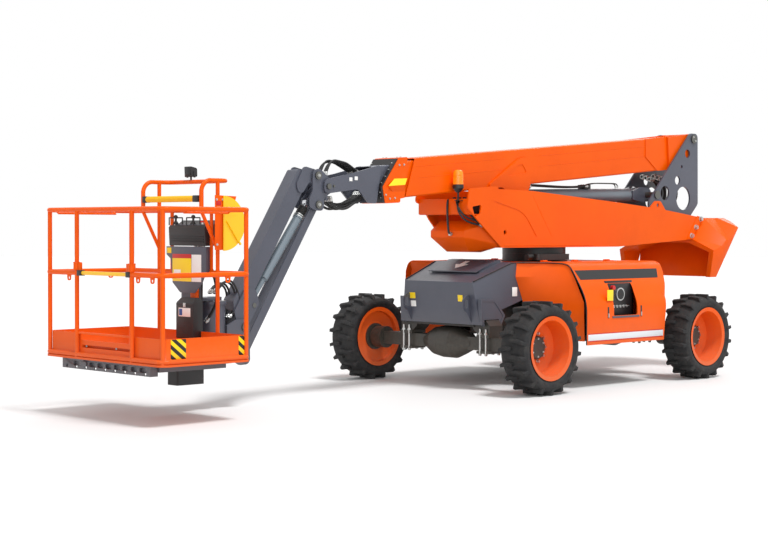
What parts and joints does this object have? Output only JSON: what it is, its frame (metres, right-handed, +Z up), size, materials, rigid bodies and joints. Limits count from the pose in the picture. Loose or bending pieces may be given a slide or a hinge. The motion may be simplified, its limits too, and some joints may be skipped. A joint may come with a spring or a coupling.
{
  "type": "telescopic boom lift",
  "caption": "Self-propelled telescopic boom lift on lugged rubber tyres: slewing turret with counterweight, luffing extending boom, articulating jib and a railed work platform.",
  "frame": {"origin": "on the ground under the middle of the parked machine, 1.169 m ahead of the slewing axis", "axes": "+X along the stowed boom towards the platform, +Y to the machine's left, +Z up"},
  "size_m": [7.978, 2.5, 2.5134],
  "materials": {
    "orange_paint": "gloss",
    "grey_paint": "satin",
    "black_paint": "satin",
    "cylinder_paint": "satin",
    "hard_chrome": "polished",
    "tyre_rubber": "matte",
    "yellow_paint": "satin",
    "black_plastic": "matte",
    "pin_steel": "machined",
    "iron": "painted",
    "foam": "matte",
    "amber_lens": "clear"
  },
  "bodies": {
    "chassis": {"chassis_frame": "black_paint", "hoods": "grey_paint", "side_bays": "orange_paint", "engine_block": "iron", "fluid_tanks": "black_paint", "axle_beams": "black_paint", "slew_ring": "black_paint"},
    "cover_left": {"left_cover": "orange_paint"},
    "cover_right": {"right_cover": "orange_paint"},
    "steer_left": {"knuckle_left": "black_paint"},
    "steer_right": {"knuckle_right": "black_paint"},
    "turret": {"turret_frame": "orange_paint", "turret_plates": "orange_paint", "turret_nose": "orange_paint", "upright_plates": "grey_paint", "counterweight": "orange_paint", "turret_pins": "pin_steel", "valve_block": "black_paint", "beacon": "amber_lens"},
    "steer_rack": {"tie_rods": "black_paint"},
    "base_section": {"base_boom": "orange_paint"},
    "mid_section": {"mid_boom": "orange_paint", "mid_wear_pad": "black_plastic"},
    "fly_section": {"fly_boom": "grey_paint", "level_pin": "pin_steel"},
    "lift_barrel_body": {"lift_barrel": "cylinder_paint"},
    "lift_rod_body": {"lift_rod": "hard_chrome"},
    "boom_head_link": {"jib_knuckle": "grey_paint", "jib_pins": "pin_steel"},
    "jib": {"jib_beam": "grey_paint", "jib_barrel_pin": "pin_steel"},
    "jib_lower_link": {"jib_link": "grey_paint"},
    "jib_barrel_body": {"jib_barrel": "cylinder_paint"},
    "jib_rod_body": {"jib_rod": "hard_chrome"},
    "jib_end": {"jib_head": "grey_paint", "head_pins": "pin_steel"},
    "platform": {"platform_support": "grey_paint", "platform_floor": "orange_paint", "guardrails": "orange_paint", "control_console": "black_plastic", "console_stand": "orange_paint", "console_shield": "grey_paint", "document_box": "black_plastic", "guard_disc": "yellow_paint", "padded_bar": "foam", "load_cell": "black_plastic", "work_lamp": "black_plastic"},
    "gate": {"gate_bar": "yellow_paint"},
    "wheel_front_left": {"tyre_front_left": "tyre_rubber", "rim_front_left": "orange_paint", "hub_front_left": "black_paint"},
    "wheel_front_right": {"tyre_front_right": "tyre_rubber", "rim_front_right": "orange_paint", "hub_front_right": "black_paint"},
    "wheel_rear_left": {"tyre_rear_left": "tyre_rubber", "rim_rear_left": "orange_paint", "hub_rear_left": "black_paint"},
    "wheel_rear_right": {"tyre_rear_right": "tyre_rubber", "rim_rear_right": "orange_paint", "hub_rear_right": "black_paint"}
  },
  "joints": [
    {"name": "roll_front_left", "type": "hinge", "parent": "chassis", "child": "wheel_front_left", "pos_m": [0.031, 1.1, 0.419], "axis": [0, 1, 0], "continuous": true},
    {"name": "roll_front_right", "type": "hinge", "parent": "chassis", "child": "wheel_front_right", "pos_m": [0.031, -1.1, 0.419], "axis": [0, 1, 0], "continuous": true},
    {"name": "roll_rear_left", "type": "hinge", "parent": "steer_left", "child": "wheel_rear_left", "pos_m": [-2.369, 1.1, 0.419], "axis": [0, 1, 0], "continuous": true},
    {"name": "roll_rear_right", "type": "hinge", "parent": "steer_right", "child": "wheel_rear_right", "pos_m": [-2.369, -1.1, 0.419], "axis": [0, 1, 0], "continuous": true},
    {"name": "steer_left_turn", "type": "hinge", "parent": "chassis", "child": "steer_left", "pos_m": [-2.369, 0.95, 0.419], "axis": [0, 0, 1], "range_deg": [-25, 25]},
    {"name": "steer_right_turn", "type": "hinge", "parent": "chassis", "child": "steer_right", "pos_m": [-2.369, -0.95, 0.419], "axis": [0, 0, 1], "range_deg": [-25, 25]},
    {"name": "cover_left_lift", "type": "hinge", "parent": "chassis", "child": "cover_left", "pos_m": [-1.169, 0.5, 1.172], "axis": [1, 0, 0], "range_deg": [0, 60]},
    {"name": "cover_right_lift", "type": "hinge", "parent": "chassis", "child": "cover_right", "pos_m": [-1.169, -0.5, 1.172], "axis": [-1, 0, 0], "range_deg": [0, 60]},
    {"name": "tie_rod_shift", "type": "slide", "parent": "chassis", "child": "steer_rack", "axis": [0, 1, 0], "range_m": [-0.06359, 0.06359]},
    {"name": "slew", "type": "hinge", "parent": "chassis", "child": "turret", "pos_m": [-1.169, 0, 1.17], "axis": [0, 0, 1], "range_deg": [-180, 180]},
    {"name": "luff", "type": "hinge", "parent": "turret", "child": "base_section", "pos_m": [-3.569, 0, 2.455], "axis": [0, -1, 0], "range_deg": [0, 80]},
    {"name": "mid_extend", "type": "slide", "parent": "base_section", "child": "mid_section", "axis": [0.996, 0, -0.0898], "range_m": [0, 3.3]},
    {"name": "fly_extend", "type": "slide", "parent": "mid_section", "child": "fly_section", "axis": [0.996, 0, -0.0898], "range_m": [0, 3.3]},
    {"name": "lift_barrel_swing", "type": "hinge", "parent": "turret", "child": "lift_barrel_body", "pos_m": [-2.909, 0, 1.842], "axis": [0, -1, 0], "range_deg": [0, 82.96]},
    {"name": "lift_rod_extend", "type": "slide", "parent": "lift_barrel_body", "child": "lift_rod_body", "axis": [0.9997, 0, -0.024], "range_m": [0, 1.14992]},
    {"name": "platform_level", "type": "hinge", "parent": "fly_section", "child": "boom_head_link", "pos_m": [1.693, 0, 1.838], "axis": [0, 1, 0], "range_deg": [0, 80]},
    {"name": "jib_raise", "type": "hinge", "parent": "boom_head_link", "child": "jib", "pos_m": [1.791, 0, 1.93], "axis": [0, -1, 0], "range_deg": [0, 130]},
    {"name": "jib_link_swing", "type": "hinge", "parent": "boom_head_link", "child": "jib_lower_link", "pos_m": [1.786, 0, 1.68], "axis": [0, -1, 0], "range_deg": [0, 130]},
    {"name": "jib_end_level", "type": "hinge", "parent": "jib", "child": "jib_end", "pos_m": [2.59695, 0, 0.66491], "axis": [0, 1, 0], "range_deg": [0, 130]},
    {"name": "jib_barrel_swing", "type": "hinge", "parent": "jib", "child": "jib_barrel_body", "pos_m": [2.4799, 0, 0.83934], "axis": [0, -1, 0], "range_deg": [0, 4.56]},
    {"name": "jib_rod_extend", "type": "slide", "parent": "jib_barrel_body", "child": "jib_rod_body", "axis": [-0.599, 0, 0.8007], "range_m": [0, 0.42498]},
    {"name": "platform_turn", "type": "hinge", "parent": "jib_end", "child": "platform", "pos_m": [2.861, 0, 0.5], "axis": [0, 0, 1], "range_deg": [-80, 80]},
    {"name": "gate_lift", "type": "slide", "parent": "platform", "child": "gate", "axis": [0, 0, 1], "range_m": [0, 0.38]}
  ],
  "couplings": [
    {"joint": "steer_right_turn", "follows": "steer_left_turn", "ratio": 1},
    {"joint": "tie_rod_shift", "follows": "steer_left_turn", "m_per_rad": 0.14529},
    {"joint": "fly_extend", "follows": "mid_extend", "ratio": 1},
    {"joint": "lift_barrel_swing", "follows": "luff", "ratio": 1.0369},
    {"joint": "lift_rod_extend", "follows": "luff", "m_per_rad": 0.82342},
    {"joint": "platform_level", "follows": "luff", "ratio": 1},
    {"joint": "jib_link_swing", "follows": "jib_raise", "ratio": 1},
    {"joint": "jib_end_level", "follows": "jib_raise", "ratio": 1},
    {"joint": "jib_barrel_swing", "follows": "jib_raise", "ratio": 0.035},
    {"joint": "jib_rod_extend", "follows": "jib_raise", "m_per_rad": 0.18722}
  ]
}
